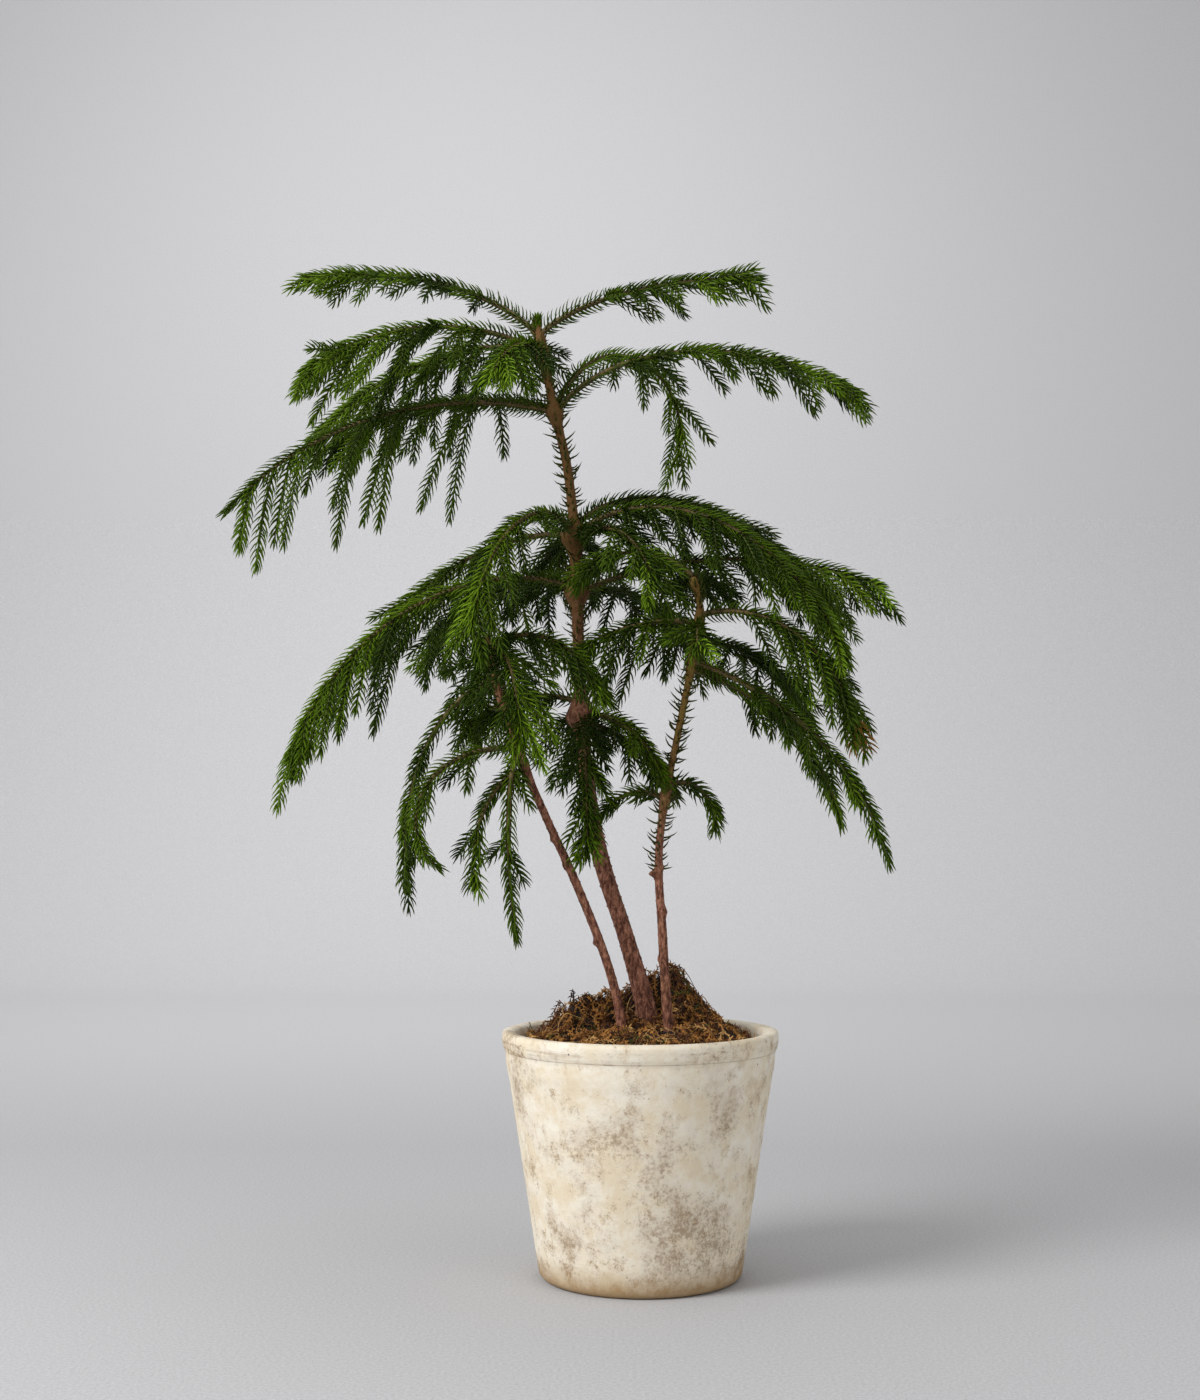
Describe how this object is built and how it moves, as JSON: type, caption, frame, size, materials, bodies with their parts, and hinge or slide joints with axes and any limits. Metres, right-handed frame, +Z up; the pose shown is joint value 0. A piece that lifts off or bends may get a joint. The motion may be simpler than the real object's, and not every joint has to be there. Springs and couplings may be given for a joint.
{
  "type": "potted norfolk island pine",
  "caption": "Young Norfolk Island pine with leaning stems and tiers of drooping needled boughs, rooted in moss in a tapered clay pot.",
  "frame": {"origin": "centre of the pot's flat underside, on the surface that it stands on", "axes": "+Z up, -Y towards the front of the plant, +X to its right as seen from the front"},
  "size_m": [0.3608, 0.2298, 0.5643],
  "materials": {
    "pale_clay": "unglazed, weathered",
    "brown_moss": "rough, fibrous",
    "reddish_bark": "rough bark",
    "green_bark": "thin young bark",
    "green_needles": "matt needles"
  },
  "bodies": {
    "root": {"foliage_inner_back": "green_needles", "foliage_inner_back_right": "green_needles", "foliage_inner_fore": "green_needles", "foliage_inner_left": "green_needles", "foliage_inner_right": "green_needles", "foliage_left_crown_back": "green_needles", "foliage_left_crown_fore": "green_needles", "foliage_left_crown_left": "green_needles", "foliage_left_crown_right": "green_needles", "foliage_left_spur_fore": "green_needles", "foliage_left_spur_left": "green_needles", "foliage_left_spur_low": "green_needles", "foliage_lower_back_left": "green_needles", "foliage_lower_back_right": "green_needles", "foliage_lower_left": "green_needles", "foliage_lower_right": "green_needles", "foliage_middle_back": "green_needles", "foliage_middle_back_right": "green_needles", "foliage_middle_fore": "green_needles", "foliage_middle_fore_left": "green_needles", "foliage_middle_fore_right": "green_needles", "foliage_middle_left": "green_needles", "foliage_right_crown_back": "green_needles", "foliage_right_crown_left": "green_needles", "foliage_right_lower_back": "green_needles", "foliage_right_lower_right": "green_needles", "foliage_right_lower_side": "green_needles", "foliage_right_spur_left": "green_needles", "foliage_right_spur_right": "green_needles", "foliage_right_upper_fore": "green_needles", "foliage_right_upper_left": "green_needles", "foliage_right_upper_right": "green_needles", "foliage_top_back": "green_needles", "foliage_top_back_left": "green_needles", "foliage_top_fore": "green_needles", "foliage_top_fore_left": "green_needles", "foliage_top_left": "green_needles", "foliage_top_right": "green_needles", "foliage_upper_back_left": "green_needles", "foliage_upper_back_right": "green_needles", "foliage_upper_left": "green_needles", "foliage_upper_right": "green_needles", "limb_lower_left": "green_bark", "limb_lower_right": "green_bark", "limb_right_lower_right": "green_bark", "limb_right_upper_right": "green_bark", "limb_top_back_left": "green_bark", "limb_top_fore_left": "green_bark", "limb_top_left": "green_bark", "limb_top_right": "green_bark", "limb_upper_back_left": "green_bark", "limb_upper_back_right": "green_bark", "limb_upper_left": "green_bark", "limb_upper_right": "green_bark", "moss_and_soil": "brown_moss", "pot": "pale_clay", "stem_left": "reddish_bark", "stem_main": "reddish_bark", "stem_right": "reddish_bark"}
  },
  "joints": []
}
